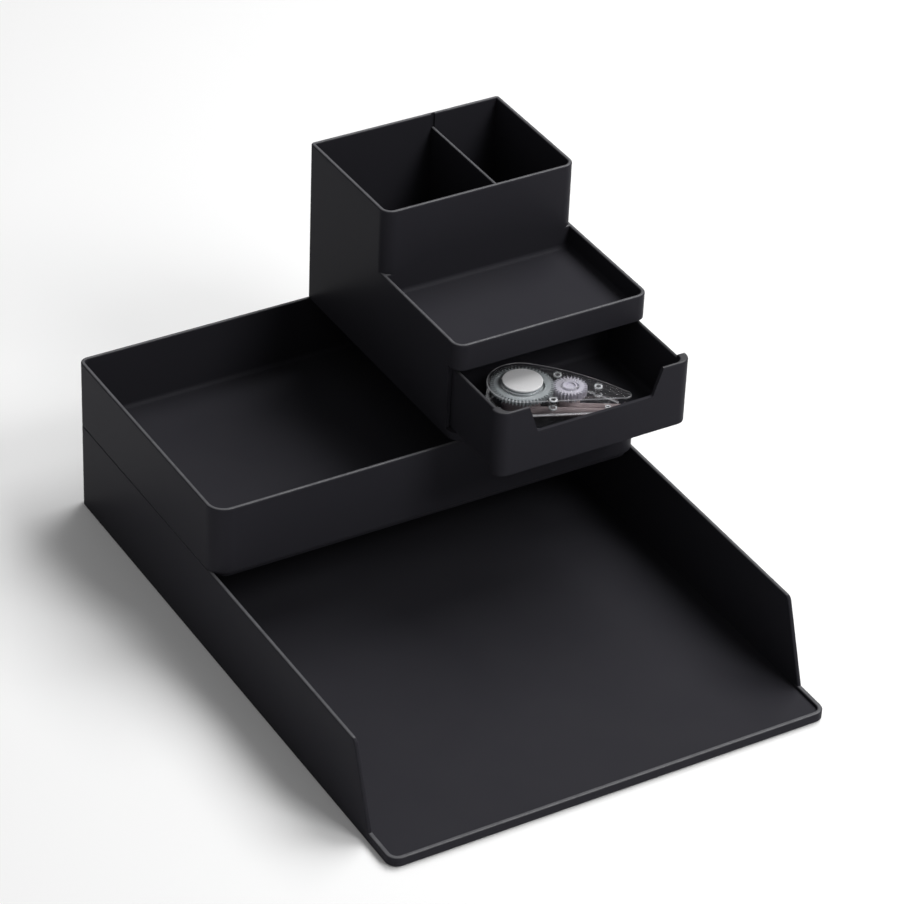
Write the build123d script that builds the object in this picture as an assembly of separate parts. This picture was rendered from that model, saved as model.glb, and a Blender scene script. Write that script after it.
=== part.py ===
from build123d import *
import os
from math import asin, atan2, cos, hypot, pi, radians, sin

# Stacking desk organizer: a letter tray, a half-depth tray on top of it, and a tower
# with a pen cup, a clip tray and a drawer. A clear tape runner lies in the drawer.
# Origin at the centre of the footprint on the desk, +X right, +Y back, +Z up, millimetres.
# "Depth" below is measured from the back face of the organizer towards the front.

# ---- driving dimensions ----
overall_width = 250.0
rear_corner_radius = 5.0
front_corner_radius = 10.0
rim_round = 0.9           # nearly a full round on the walls
overshoot = 2.0           # how far a cutting block reaches past what it cuts
seat_gap = 0.4            # side clearance where one moulding nests in another
nest_height = 3.0
nest_thickness = 1.6

foot_diameter = 14.0
foot_thickness = 1.6
foot_recess = 0.8
foot_inset = 26.0
foot_fit = 0.1

letter_wall = 2.3
letter_floor = 3.0
letter_height = 50.6      # from the underside of the tray to its rim
letter_rim_depth = 301.0  # where the side walls end at the rim
letter_slant = 16.0       # how much further forward they end at the lip
letter_lip = 23.0         # how far the lip stands in front of the walls
lip_radius = 6.5
lip_bead_width = 2.6
lip_bead_height = 1.8
lip_bead_round = 0.8
wall_nose_radius = 4.0

upper_wall = 2.2
upper_floor = 2.4
upper_height = 39.6
cavity_round = 2.5

tower_width = 114.0
tower_wall = 2.2
tower_floor = 2.4
tower_back_radius = 2.0
tower_front_radius = 6.5
plinth_height = 4.5
bay_height = 38.2         # clear height of the drawer bay
clip_floor = 2.5
clip_wall_height = 15.0   # from the underside of the clip tray to its rim
cup_depth = 81.0
bay_depth = 75.5          # from the pen cup's front to the front of the tower
cup_rise = 37.3           # pen cup rim above the clip tray rim
nest_start = 12.0         # how far from the tower's free side its nesting rib starts

divider_thickness = 1.8
divider_from_left = 72.0
divider_below_rim = 8.0
divider_groove = 0.8
divider_round = 0.7
divider_fit = 0.15

drawer_wall = 2.0
drawer_floor = 2.0
drawer_side_gap = 0.5
drawer_floor_gap = 0.2
drawer_top_gap = 0.3
drawer_back_gap = 0.8
drawer_cap_depth = 8.0    # the front's returns, which cover the ends of the bay walls
drawer_side_drop = 2.1    # sides lower than the front's corners
drawer_pulled_out = 43.0
notch_bottom_width = 68.0
notch_top_width = 79.0
notch_depth = 16.0
notch_round = 1.6

runner_left = 16.0        # supply axle, left of the middle of the drawer's inside
runner_behind = 7.65      # supply axle, behind that middle
runner_turn = -37.0
runner_height = 17.4
runner_wall = 1.2
runner_edge_round = 0.9   # outer edges of both shells
runner_rear_radius = 18.3
runner_rear_angle = 8.0   # degrees the round rear end goes on past square
runner_tip_reach = 56.0
runner_tip_half_width = 3.6
runner_tip_offset = 1.6   # how far the tip lies to the right of the supply axle
runner_bulge_reach = 28.6
runner_bulge = 12.8
runner_seam = 8.2         # height of the joint between the two shells
runner_mouth = 6.5        # length of the open end where the tape comes out
upper_post_along = 16.8   # snap posts, along and beside the supply axle
upper_post_aside = 12.0
lower_post_along = 17.0
lower_post_aside = 11.2
middle_post_behind = 17.5 # behind the blunt tip
middle_post_aside = 5.0
guide_behind = 8.3        # guide roller, behind the tip roller and to its right
guide_aside = 1.6

gear_module = 0.6
supply_teeth = 53
takeup_teeth = 28
takeup_bearing = 7.0      # degrees from the runner's long axis
supply_gear_thickness = 2.6
takeup_gear_thickness = 4.2
gear_root_depth = 1.25    # modules, before the root clearance
gear_flank_lean = 0.36    # modules a flank leans to each side of the pitch line
gear_backlash = 0.22
gear_root_clearance = 0.2
gear_below_cover = 0.5
axle_diameter = 4.0
axle_fit = 0.08
supply_hub_diameter = 14.0
takeup_hub_diameter = 8.4
takeup_crown_diameter = 8.0
window_gap = 0.6
tape_width = 8.0
supply_roll_diameter = 20.0
takeup_roll_diameter = 11.6
roll_fit = 0.05
roll_above_base = 0.4
label_diameter = 21.0
label_thickness = 0.9
label_stem_diameter = 17.0
label_lift = 0.3          # underside of the label disc above the cover
tape_thickness = 0.3
tape_clearance = 0.35
post_diameter = 2.4
socket_diameter = 4.4     # bosses under the cover that the posts snap into
socket_length = 6.0
socket_fit = 0.1
roller_diameter = 3.0
roller_pin_diameter = 1.4
roller_from_tip = 3.2      # tip roller's axis behind the blunt tip

# ---- places worked out from the dimensions ----
half_width = overall_width / 2
overall_depth = letter_rim_depth + letter_slant + letter_lip
upper_depth = cup_depth + bay_depth
foot_proud = foot_thickness - foot_recess
letter_base = foot_proud
letter_floor_top = letter_base + letter_floor
letter_rim = letter_base + letter_height
upper_rim = letter_rim + upper_height
plinth_top = upper_rim + plinth_height
bay_top = plinth_top + bay_height
clip_rim = bay_top + clip_wall_height
cup_rim = clip_rim + cup_rise
tower_left = half_width - tower_width
bay_front = upper_depth - drawer_cap_depth
body_left = tower_left + tower_wall + drawer_side_gap
body_right = half_width - tower_wall - drawer_side_gap
body_back = cup_depth + drawer_back_gap
drawer_base = plinth_top + drawer_floor_gap
drawer_top = bay_top - drawer_top_gap
drawer_floor_top = drawer_base + drawer_floor
supply_radius = gear_module * supply_teeth / 2
takeup_radius = gear_module * takeup_teeth / 2
gear_distance = supply_radius + takeup_radius
cover_under = runner_height - runner_wall
gear_top = cover_under - gear_below_cover
socket_base = cover_under - socket_length
roll_base = runner_wall + roll_above_base
takeup_centre = (
    gear_distance * cos(radians(takeup_bearing)),
    gear_distance * sin(radians(takeup_bearing)),
)


def y_at(depth):
    # Y of a place given by its depth from the back face
    return overall_depth / 2 - depth


def block(x, depth, z, back_radius=0.0, front_radius=0.0, floor_radius=0.0):
    # box between (low, high) pairs, with its upright corners rounded
    size = (x[1] - x[0], depth[1] - depth[0], z[1] - z[0])
    corner = Pos(x[0], y_at(depth[1]), z[0])
    body = corner * Box(*size, align=(Align.MIN, Align.MIN, Align.MIN))
    if front_radius > 0:
        body = fillet(body.edges().filter_by(Axis.Z).group_by(Axis.Y)[0], front_radius)
    if back_radius > 0:
        body = fillet(body.edges().filter_by(Axis.Z).group_by(Axis.Y)[-1], back_radius)
    if floor_radius > 0:
        body = fillet(body.faces().sort_by(Axis.Z)[0].edges(), floor_radius)
    return body


def edges_at_height(body, z):
    # edges that lie flat at one height
    flat = [e for e in body.edges() if abs(e.bounding_box().min.Z - z) < 0.01]
    return [e for e in flat if abs(e.bounding_box().max.Z - z) < 0.01]


def round_rim(body, z, radius):
    return fillet(edges_at_height(body, z), radius)


def prism_across(points, x):
    # prism along X from an outline of (depth, z) points
    outline = Polyline([(x[0], y_at(d), h) for d, h in points], close=True)
    return extrude(make_face(outline), x[1] - x[0], dir=(1, 0, 0))


# ---- letter tray ----
def foot_places():
    places = []
    for x in (-half_width + foot_inset, half_width - foot_inset):
        for depth in (foot_inset, overall_depth - foot_inset):
            places.append((x, y_at(depth)))
    return places


def make_letter_tray():
    across = (-half_width, half_width)
    foot_depth = letter_rim_depth + letter_slant
    bead_top = letter_floor_top + lip_bead_height
    inner = (-half_width + letter_wall, half_width - letter_wall)
    walls = block(across, (0, foot_depth), (letter_base, letter_rim), rear_corner_radius)
    walls -= block(
        inner,
        (letter_wall, foot_depth + overshoot),
        (letter_floor_top, letter_rim + overshoot),
        rear_corner_radius - letter_wall,
    )
    above = letter_rim + overshoot
    ahead = overall_depth + overshoot
    front_cut = [
        (letter_rim_depth, letter_rim),
        (foot_depth, bead_top),
        (ahead, bead_top),
        (ahead, above),
        (letter_rim_depth, above),
    ]
    walls -= prism_across(front_cut, (-half_width - overshoot, half_width + overshoot))
    noses = [
        e for e in walls.edges().filter_by(Axis.X)
        if abs(e.center().Z - letter_rim) < 0.01
        and abs(e.center().Y - y_at(letter_rim_depth)) < 0.01
    ]
    walls = fillet(noses, wall_nose_radius)
    floor = block(
        across,
        (0, overall_depth),
        (letter_base, letter_floor_top),
        rear_corner_radius,
        lip_radius,
    )
    bead_span = (foot_depth - lip_bead_width, overall_depth)
    bead = block(across, bead_span, (letter_base, bead_top), 0, lip_radius)
    bead -= block(
        (-half_width + lip_bead_width, half_width - lip_bead_width),
        (bead_span[0] - overshoot, overall_depth - lip_bead_width),
        (letter_base - overshoot, bead_top + overshoot),
        0,
        lip_radius - lip_bead_width,
    )
    tray = round_rim(walls + floor + bead, letter_rim, rim_round)
    front_rim = [e for e in edges_at_height(tray, bead_top) if e.center().Y < y_at(foot_depth)]
    tray = fillet(front_rim, lip_bead_round)
    for x, y in foot_places():
        pocket = Cylinder(
            foot_diameter / 2 + foot_fit,
            foot_recess,
            align=(Align.CENTER, Align.CENTER, Align.MIN),
        )
        tray -= Pos(x, y, letter_base) * pocket
    return tray


def make_feet():
    foot = Cylinder(
        foot_diameter / 2, foot_thickness, align=(Align.CENTER, Align.CENTER, Align.MIN)
    )
    return Compound(children=[Pos(x, y, 0) * foot for x, y in foot_places()])


# ---- half-depth upper tray ----
def nest_ring(x, depth, z, rear_radius, front_radius):
    # rib that drops inside the walls of the moulding below
    ring = block(x, depth, z, rear_radius, front_radius)
    ring -= block(
        (x[0] + nest_thickness, x[1] - nest_thickness),
        (depth[0] + nest_thickness, depth[1] - nest_thickness),
        (z[0] - overshoot, z[1] + overshoot),
        rear_radius - nest_thickness,
        front_radius - nest_thickness,
    )
    return ring


def make_upper_tray():
    across = (-half_width, half_width)
    tray = block(
        across,
        (0, upper_depth),
        (letter_rim, upper_rim),
        rear_corner_radius,
        front_corner_radius,
    )
    tray = round_rim(tray, letter_rim, rim_round)
    tray -= block(
        (-half_width + upper_wall, half_width - upper_wall),
        (upper_wall, upper_depth - upper_wall),
        (letter_rim + upper_floor, upper_rim + overshoot),
        rear_corner_radius - upper_wall,
        front_corner_radius - upper_wall,
        cavity_round,
    )
    tray = round_rim(tray, upper_rim, rim_round)
    inset = letter_wall + seat_gap
    rib = nest_ring(
        (-half_width + inset, half_width - inset),
        (inset, upper_depth - inset),
        (letter_rim - nest_height, letter_rim + upper_floor / 2),
        rear_corner_radius - inset,
        front_corner_radius - inset,
    )
    return tray + rib


# ---- tower: pen cup, clip tray and drawer bay in one moulding ----
def divider_span():
    # the divider's lower left edge and its thickness range in X
    left = tower_left + divider_from_left
    return (left, left + divider_thickness)


def make_tower():
    across = (tower_left, half_width)
    inner = (tower_left + tower_wall, half_width - tower_wall)
    inner_radius = tower_front_radius - tower_wall
    cup = block(
        across,
        (0, cup_depth),
        (plinth_top - tower_floor, cup_rim),
        tower_back_radius,
        tower_front_radius,
    )
    base = block(
        across, (0, upper_depth), (upper_rim, clip_rim), tower_back_radius, tower_front_radius
    )
    clip_cavity = block(
        inner,
        (cup_depth, upper_depth - tower_wall),
        (bay_top + clip_floor, clip_rim + overshoot),
        0,
        inner_radius,
    )
    floor_edges = clip_cavity.faces().sort_by(Axis.Z)[0].edges()
    clip_cavity = fillet(floor_edges, cavity_round)
    base -= clip_cavity
    bay = block(inner, (cup_depth, upper_depth + overshoot), (plinth_top, bay_top))
    bay_mouth = block(
        (tower_left - overshoot, half_width + overshoot),
        (bay_front, upper_depth + overshoot),
        (plinth_top, bay_top),
    )
    base -= bay
    base -= bay_mouth
    base -= block(
        inner,
        (tower_wall, upper_depth - tower_wall),
        (upper_rim - overshoot, plinth_top - tower_floor),
        0,
        inner_radius,
    )
    base = round_rim(base, clip_rim, rim_round)
    tower = base + cup
    tower -= block(
        inner,
        (tower_wall, cup_depth - tower_wall),
        (plinth_top, cup_rim + overshoot),
        0,
        inner_radius,
        cavity_round,
    )
    tower = round_rim(tower, cup_rim, rim_round)
    left, right = divider_span()
    tower -= block(
        (left - divider_fit, right + divider_fit),
        (tower_wall - divider_groove, cup_depth - tower_wall + divider_groove),
        (plinth_top, cup_rim + overshoot),
    )
    inset = upper_wall + seat_gap
    rib = nest_ring(
        (tower_left, half_width - inset),
        (inset, upper_depth - inset),
        (upper_rim - nest_height, plinth_top - tower_floor / 2),
        rear_corner_radius - inset,
        front_corner_radius - inset,
    )
    rib -= block(
        (tower_left - overshoot, tower_left + nest_start),
        (0, upper_depth),
        (upper_rim - nest_height - overshoot, plinth_top),
    )
    return tower + rib


def make_divider():
    left, right = divider_span()
    reach = divider_groove - divider_fit
    plate = block(
        (left, right),
        (tower_wall - reach, cup_depth - tower_wall + reach),
        (plinth_top, cup_rim - divider_below_rim),
    )
    return round_rim(plate, cup_rim - divider_below_rim, divider_round)


# ---- drawer, built closed and then pulled out ----
def make_notch():
    # finger notch in the drawer front, wider at its top
    middle = (tower_left + half_width) / 2
    notch_z = drawer_top - notch_depth
    above = drawer_top + notch_depth
    half_above = notch_top_width - notch_bottom_width / 2
    front_y = y_at(upper_depth) - overshoot
    outline = Polyline(
        [
            (middle - notch_bottom_width / 2, front_y, notch_z),
            (middle + notch_bottom_width / 2, front_y, notch_z),
            (middle + half_above, front_y, above),
            (middle - half_above, front_y, above),
        ],
        close=True,
    )
    notch = extrude(make_face(outline), drawer_cap_depth, dir=(0, 1, 0))
    return fillet(notch.edges().filter_by(Axis.Y).group_by(Axis.Z)[0], notch_round)


def drawer_inside():
    # clear width and depth of the closed drawer
    width = (body_left + drawer_wall, body_right - drawer_wall)
    return width, (body_back + drawer_wall, upper_depth - drawer_wall)


def make_drawer():
    side_top = drawer_top - drawer_side_drop
    inside_width, inside_depth = drawer_inside()
    cap_start = bay_front - tower_front_radius
    cap = block(
        (tower_left, half_width),
        (cap_start, upper_depth),
        (drawer_base, drawer_top),
        0,
        tower_front_radius,
    )
    cap -= block(
        (tower_left - overshoot, half_width + overshoot),
        (cap_start - overshoot, bay_front),
        (drawer_base - overshoot, drawer_top + overshoot),
    )
    body = block((body_left, body_right), (body_back, bay_front), (drawer_base, side_top))
    cavity = block(
        inside_width,
        inside_depth,
        (drawer_floor_top, drawer_top + overshoot),
        0,
        tower_front_radius - drawer_wall,
        cavity_round,
    )
    body -= cavity
    joint_y = y_at(bay_front)
    rim = [e for e in edges_at_height(body, side_top) if e.center().Y > joint_y + 0.01]
    body = fillet(rim, rim_round)
    cap = round_rim(cap - cavity, drawer_top, rim_round)
    return Pos(0, -drawer_pulled_out, 0) * (body + cap - make_notch())


# ---- tape runner, built about its supply axle and then laid in the drawer ----
def runner_place():
    inside_width, inside_depth = drawer_inside()
    x = sum(inside_width) / 2 - runner_left
    depth = sum(inside_depth) / 2 + drawer_pulled_out - runner_behind
    return Location((x, y_at(depth), drawer_floor_top), (0, 0, runner_turn))


def disc(radius, z, hole=0.0, centre=(0.0, 0.0)):
    # flat ring or disc between two heights
    upright = (Align.CENTER, Align.CENTER, Align.MIN)
    ring = Cylinder(radius, z[1] - z[0], align=upright)
    if hole > 0:
        ring -= Cylinder(hole, z[1] - z[0], align=upright)
    return Pos(centre[0], centre[1], z[0]) * ring


def runner_outline(inset=0.0):
    # teardrop: a round rear end that draws in to a blunt tip
    rear = runner_rear_radius - inset
    tip_u = runner_tip_reach - inset
    tip_half = runner_tip_half_width - inset / 2
    upper_tip = (tip_u - tip_half, -runner_tip_offset + tip_half)
    lower_tip = (tip_u - tip_half, -runner_tip_offset - tip_half)
    turn = radians(runner_rear_angle)
    upper_side = (rear * sin(turn), rear * cos(turn))
    lower_side = (upper_side[0], -upper_side[1])
    lines = ThreePointArc(upper_side, (runner_bulge_reach, runner_bulge - inset), upper_tip)
    lines += ThreePointArc(upper_tip, (tip_u, -runner_tip_offset), lower_tip)
    lines += Line(lower_tip, lower_side)
    lines += ThreePointArc(lower_side, (-rear, 0), upper_side)
    return make_face(lines)


def post_places():
    # snap posts that hold the two shells together
    return [
        (upper_post_along, upper_post_aside),
        (runner_tip_reach - middle_post_behind, middle_post_aside),
        (lower_post_along, -lower_post_aside),
    ]


def tip_place():
    return (runner_tip_reach - roller_from_tip, -runner_tip_offset)


def guide_place():
    tip = tip_place()
    return (tip[0] - guide_behind, tip[1] - guide_aside)


def open_mouth(shell):
    # the side wall is open at the tip, between the two plates
    mouth = Box(
        runner_mouth + overshoot,
        runner_rear_radius,
        cover_under - runner_wall,
        align=(Align.MIN, Align.CENTER, Align.MIN),
    )
    return shell - Pos(runner_tip_reach - runner_mouth, 0, runner_wall) * mouth


def make_base_shell():
    outer = round_rim(extrude(runner_outline(), runner_seam), 0, runner_edge_round)
    inner = extrude(runner_outline(runner_wall), runner_seam)
    shell = open_mouth(outer - Pos(0, 0, runner_wall) * inner)
    for centre in ((0.0, 0.0), takeup_centre):
        shell += disc(axle_diameter / 2, (0, cover_under), centre=centre)
    for place in post_places():
        shell += disc(post_diameter / 2, (0, cover_under - socket_fit), centre=place)
    for place in (guide_place(), tip_place()):
        shell += disc(roller_pin_diameter / 2, (0, cover_under), centre=place)
    return shell


def make_cover_shell():
    height = runner_height - runner_seam
    outer = round_rim(extrude(runner_outline(), height), height, runner_edge_round)
    inner = extrude(runner_outline(runner_wall), height - runner_wall)
    shell = open_mouth(Pos(0, 0, runner_seam) * (outer - inner))
    bore = post_diameter / 2 + socket_fit
    for place in post_places():
        shell += disc(socket_diameter / 2, (socket_base, cover_under), centre=place)
    for place in post_places():
        shell -= disc(bore, (0, cover_under), centre=place)
    through = (cover_under - overshoot, runner_height + overshoot)
    shell -= disc(label_diameter / 2 + window_gap, through)
    shell -= disc(takeup_crown_diameter / 2 + window_gap, through, centre=takeup_centre)
    return shell


def gear_face(teeth, turn):
    # straight-flanked fine teeth; turn sets where the first tooth points
    pitch = gear_module * teeth / 2
    tip = pitch + gear_module
    root = pitch - gear_root_depth * gear_module - gear_root_clearance
    half_tooth = (pi * gear_module / 2 - gear_backlash) / 2
    flank = gear_flank_lean * gear_module
    corners = (
        (root, -(half_tooth + flank) / root),
        (tip, -(half_tooth - flank) / tip),
        (tip, (half_tooth - flank) / tip),
        (root, (half_tooth + flank) / root),
    )
    points = []
    for tooth in range(teeth):
        middle = turn + 2 * pi * tooth / teeth
        for radius, offset in corners:
            points.append((radius * cos(middle + offset), radius * sin(middle + offset)))
    return make_face(Polyline(points, close=True))


def make_gear(teeth, thickness, turn, centre, hub_diameter, crown_diameter, crown_top):
    gear_base = gear_top - thickness
    gear = extrude(gear_face(teeth, turn), thickness)
    gear = Pos(centre[0], centre[1], gear_base) * gear
    gear += disc(hub_diameter / 2, (roll_base, gear_base), centre=centre)
    gear += disc(crown_diameter / 2, (gear_base, crown_top), centre=centre)
    return gear - disc(axle_diameter / 2 + axle_fit, (0, cover_under), centre=centre)


def make_supply_gear():
    label_base = runner_height + label_lift
    centre = (0.0, 0.0)
    turn = radians(takeup_bearing)
    return make_gear(
        supply_teeth,
        supply_gear_thickness,
        turn,
        centre,
        supply_hub_diameter,
        label_stem_diameter,
        label_base,
    )


def make_takeup_gear():
    # a gap of this gear faces the supply gear's tooth on the line of centres
    turn = radians(takeup_bearing) + pi + pi / takeup_teeth
    return make_gear(
        takeup_teeth,
        takeup_gear_thickness,
        turn,
        takeup_centre,
        takeup_hub_diameter,
        takeup_crown_diameter,
        runner_height,
    )


def make_roll(hub_diameter, roll_diameter, centre):
    top = roll_base + tape_width
    return disc(roll_diameter / 2, (roll_base, top), hub_diameter / 2 + roll_fit, centre)


def make_label_disc():
    # blank disc on the supply gear's stem
    base = runner_height + label_lift
    plate = disc(label_diameter / 2, (base, base + label_thickness))
    return fillet(edges_at_height(plate, base + label_thickness), label_thickness / 3)


def make_roller(place):
    bore = roller_pin_diameter / 2 + axle_fit
    return disc(roller_diameter / 2, (roll_base, roll_base + tape_width), bore, place)


def band_line(first, second):
    # straight stretch between two round parts, each (centre, radius, side);
    # side is 1 where the part lies to the left of the tape's way and -1 to the right
    dx = second[0][0] - first[0][0]
    dy = second[0][1] - first[0][1]
    offset = second[2] * second[1] - first[2] * first[1]
    heading = atan2(dy, dx) - asin(offset / hypot(dx, dy))
    left = (-sin(heading), cos(heading))
    ends = []
    for centre, radius, side in (first, second):
        ends.append((centre[0] - side * radius * left[0], centre[1] - side * radius * left[1]))
    return ends


def make_tape():
    # from the supply roll, round the guide and tip rollers, back to the take-up roll
    stand_off = tape_clearance + tape_thickness / 2
    roller = roller_diameter / 2 + stand_off
    stops = [
        ((0.0, 0.0), supply_roll_diameter / 2 + stand_off, 1),
        (guide_place(), roller, 1),
        (tip_place(), roller, 1),
        (takeup_centre, takeup_roll_diameter / 2 + stand_off, -1),
    ]
    lines = [band_line(a, b) for a, b in zip(stops, stops[1:])]
    path = Line(*lines[0])
    for stop, before, after in zip(stops[1:], lines, lines[1:]):
        centre, radius, side = stop
        start = before[1]
        end = after[0]
        first = atan2(start[1] - centre[1], start[0] - centre[0])
        last = atan2(end[1] - centre[1], end[0] - centre[0])
        turn = (last - first) % (2 * pi)
        middle = first + turn / 2
        crown = (centre[0] + radius * cos(middle), centre[1] + radius * sin(middle))
        path += ThreePointArc(start, crown, end)
        path += Line(*after)
    band = extrude(trace(path, tape_thickness), tape_width)
    return Pos(0, 0, roll_base) * band


def make_runner_parts():
    supply = (0.0, 0.0)
    return {
        "runner_base_shell": make_base_shell(),
        "runner_cover_shell": make_cover_shell(),
        "supply_gear": make_supply_gear(),
        "supply_tape_roll": make_roll(supply_hub_diameter, supply_roll_diameter, supply),
        "runner_label_disc": make_label_disc(),
        "takeup_gear": make_takeup_gear(),
        "takeup_tape_roll": make_roll(takeup_hub_diameter, takeup_roll_diameter, takeup_centre),
        "guide_roller": make_roller(guide_place()),
        "tip_roller": make_roller(tip_place()),
        "transfer_tape": make_tape(),
    }


parts = {
    "letter_tray": make_letter_tray(),
    "letter_tray_feet": make_feet(),
    "upper_tray": make_upper_tray(),
    "tower_body": make_tower(),
    "pen_divider": make_divider(),
    "drawer": make_drawer(),
}
for name, shape in make_runner_parts().items():
    parts[name] = runner_place() * shape

os.makedirs("parts", exist_ok=True)
for name, shape in parts.items():
    export_step(shape, f"parts/{name}.step")
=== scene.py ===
import math
import bpy
from mathutils import Matrix, Vector


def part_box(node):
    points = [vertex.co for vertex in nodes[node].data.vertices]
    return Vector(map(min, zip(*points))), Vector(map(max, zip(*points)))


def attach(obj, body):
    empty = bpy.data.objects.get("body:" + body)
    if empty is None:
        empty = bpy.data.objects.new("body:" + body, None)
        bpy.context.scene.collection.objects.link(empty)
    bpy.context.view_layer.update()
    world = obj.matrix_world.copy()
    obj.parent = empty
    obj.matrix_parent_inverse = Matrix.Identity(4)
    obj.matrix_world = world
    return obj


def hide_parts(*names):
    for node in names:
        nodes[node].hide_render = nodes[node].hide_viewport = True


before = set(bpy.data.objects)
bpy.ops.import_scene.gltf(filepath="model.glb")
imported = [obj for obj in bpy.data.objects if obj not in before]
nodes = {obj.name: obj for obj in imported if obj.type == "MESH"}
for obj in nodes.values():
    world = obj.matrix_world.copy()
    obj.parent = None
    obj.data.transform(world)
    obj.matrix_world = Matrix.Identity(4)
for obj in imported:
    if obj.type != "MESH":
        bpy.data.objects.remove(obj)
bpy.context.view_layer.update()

scene = bpy.context.scene
mm = 0.001    # lengths in the dictionaries are millimetres, except in the studio's
white = (1, 1, 1, 1)
dark = (0, 0, 0, 1)

# camera, solved from the outlines in the photograph
cameraSettings = {
    "focalPixels": 3916.2,    # focal length in pixels of the 904 pixel wide picture
    "framePixels": 904,
    "sensorWidth": 36.0,
    "place": (-844.99, -1388.57, 1216.34),
    "turnFromBack": 31.39,    # degrees from +Y towards +X
    "lookDown": 34.54,        # degrees below level
    "roll": 2.49,
    "nearest": 50.0,          # what the camera can see lies between these two distances
    "furthest": 50000.0,
}


def addCamera(settings):
    turn = math.radians(settings["turnFromBack"])
    down = math.radians(settings["lookDown"])
    roll = math.radians(settings["roll"])
    look = Vector((math.sin(turn) * math.cos(down), math.cos(turn) * math.cos(down), -math.sin(down)))
    level = Vector((math.cos(turn), -math.sin(turn), 0.0))
    upright = level.cross(look)
    right = math.cos(roll) * level + math.sin(roll) * upright
    up = math.cos(roll) * upright - math.sin(roll) * level
    data = bpy.data.cameras.new("photoCamera")
    data.sensor_width = settings["sensorWidth"]
    data.lens = settings["focalPixels"] / settings["framePixels"] * settings["sensorWidth"]
    data.clip_start = settings["nearest"] * mm
    data.clip_end = settings["furthest"] * mm
    camera = bpy.data.objects.new("photoCamera", data)
    turned = Matrix((right, up, -look)).transposed().to_4x4()
    camera.matrix_world = Matrix.Translation(Vector(settings["place"]) * mm) @ turned
    scene.collection.objects.link(camera)
    scene.camera = camera


addCamera(cameraSettings)
print("camera set")


class TreeMaker:
    # short calls that place and link the nodes of one tree
    def __init__(self, tree):
        self.tree = tree

    def openGroup(self, inputs, outputs):
        # named inputs with a type and a first value, and named outputs with a type
        for name, kind, value in inputs:
            socket = self.tree.interface.new_socket(name=name, in_out="INPUT", socket_type=kind)
            if value is not None:
                socket.default_value = value
        for name, kind in outputs:
            self.tree.interface.new_socket(name=name, in_out="OUTPUT", socket_type=kind)
        self.entry = self.tree.nodes.new("NodeGroupInput")
        self.result = self.tree.nodes.new("NodeGroupOutput")
        return self

    def value(self, name):
        return self.entry.outputs[name]

    def give(self, name, socket):
        self.tree.links.new(socket, self.result.inputs[name])

    def feed(self, node, values):
        # a socket is linked to the input, and anything else is set on it
        for key, value in values.items():
            if isinstance(value, bpy.types.NodeSocket):
                self.tree.links.new(value, node.inputs[key])
            else:
                node.inputs[key].default_value = value

    def place(self, kind, values=None, **choices):
        # the choices come first, because they decide which inputs there are
        node = self.tree.nodes.new(kind)
        for name, choice in choices.items():
            setattr(node, name, choice)
        self.feed(node, values or {})
        return node

    def add(self, kind, output, values=None, **choices):
        return self.place(kind, values, **choices).outputs[output]

    def compute(self, operation, *values, clamp=False):
        return self.add("ShaderNodeMath", 0, dict(enumerate(values)), operation=operation, use_clamp=clamp)

    def vector(self, x, y, z):
        return self.add("ShaderNodeCombineXYZ", 0, {0: x, 1: y, 2: z})

    def upward(self, vector):
        return self.add("ShaderNodeSeparateXYZ", "Z", {0: vector})

    def noise(self, spot, scale, detail):
        return self.add("ShaderNodeTexNoise", "Fac", {"Vector": spot, "Scale": scale, "Detail": detail})

    def mix(self, share, first, second):
        values = {"Factor": share, "A": first, "B": second}
        return self.add("ShaderNodeMix", "Result", values, data_type="RGBA")


def newMaterial(name):
    material = bpy.data.materials.new(name)
    material.use_nodes = True
    return material, TreeMaker(material.node_tree), material.node_tree.nodes["Principled BSDF"]


# floor, lamps and world; lengths here are metres
studioSettings = {
    "floorReach": 4.0,
    "floorShade": 0.93,
    "floorRoughness": 0.55,
    "floorSpecular": 0.2,
    "floorLift": 0.05,    # seen by the camera alone, so the floor ends up white
    "worldStrength": 0.21,
    "lamps": [
        # name, place, aim, width and depth, watts
        ("keyLamp", (0.85, 0.2, 1.5), (0.0, 0.0, 0.05), (1.4, 1.0), 26.0),
        ("frontLamp", (0.65, -1.35, 1.5), (0.0, 0.0, 0.08), (0.7, 0.7), 15.0),
    ],
}


def addLamp(name, place, aim, size, watts):
    data = bpy.data.lights.new(name, "AREA")
    data.shape = "RECTANGLE"
    data.size, data.size_y = size
    data.energy = watts
    lamp = bpy.data.objects.new(name, data)
    lamp.location = place
    lamp.rotation_euler = (Vector(aim) - Vector(place)).to_track_quat("-Z", "Y").to_euler()
    scene.collection.objects.link(lamp)


def addFloor(settings):
    reach = settings["floorReach"]
    shade = settings["floorShade"]
    mesh = bpy.data.meshes.new("floor")
    corners = [(-reach, -reach, 0), (reach, -reach, 0), (reach, reach, 0), (-reach, reach, 0)]
    mesh.from_pydata(corners, [], [(0, 1, 2, 3)])
    floor = bpy.data.objects.new("floor", mesh)
    scene.collection.objects.link(floor)
    material, maker, shader = newMaterial("paleFloor")
    cameraRay = maker.add("ShaderNodeLightPath", "Is Camera Ray")
    maker.feed(shader, {
        "Base Color": (shade, shade, shade, 1),
        "Roughness": settings["floorRoughness"],
        "Specular IOR Level": settings["floorSpecular"],
        "Emission Color": white,
        "Emission Strength": maker.compute("MULTIPLY", cameraRay, settings["floorLift"]),
    })
    mesh.materials.append(material)


def setWorld(strength):
    world = bpy.data.worlds.new("studio")
    world.use_nodes = True
    background = world.node_tree.nodes["Background"]
    background.inputs["Color"].default_value = white
    background.inputs["Strength"].default_value = strength
    scene.world = world


addFloor(studioSettings)
for lampValues in studioSettings["lamps"]:
    addLamp(*lampValues)
setWorld(studioSettings["worldStrength"])
scene.view_settings.view_transform = "Standard"
print("studio set")


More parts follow.
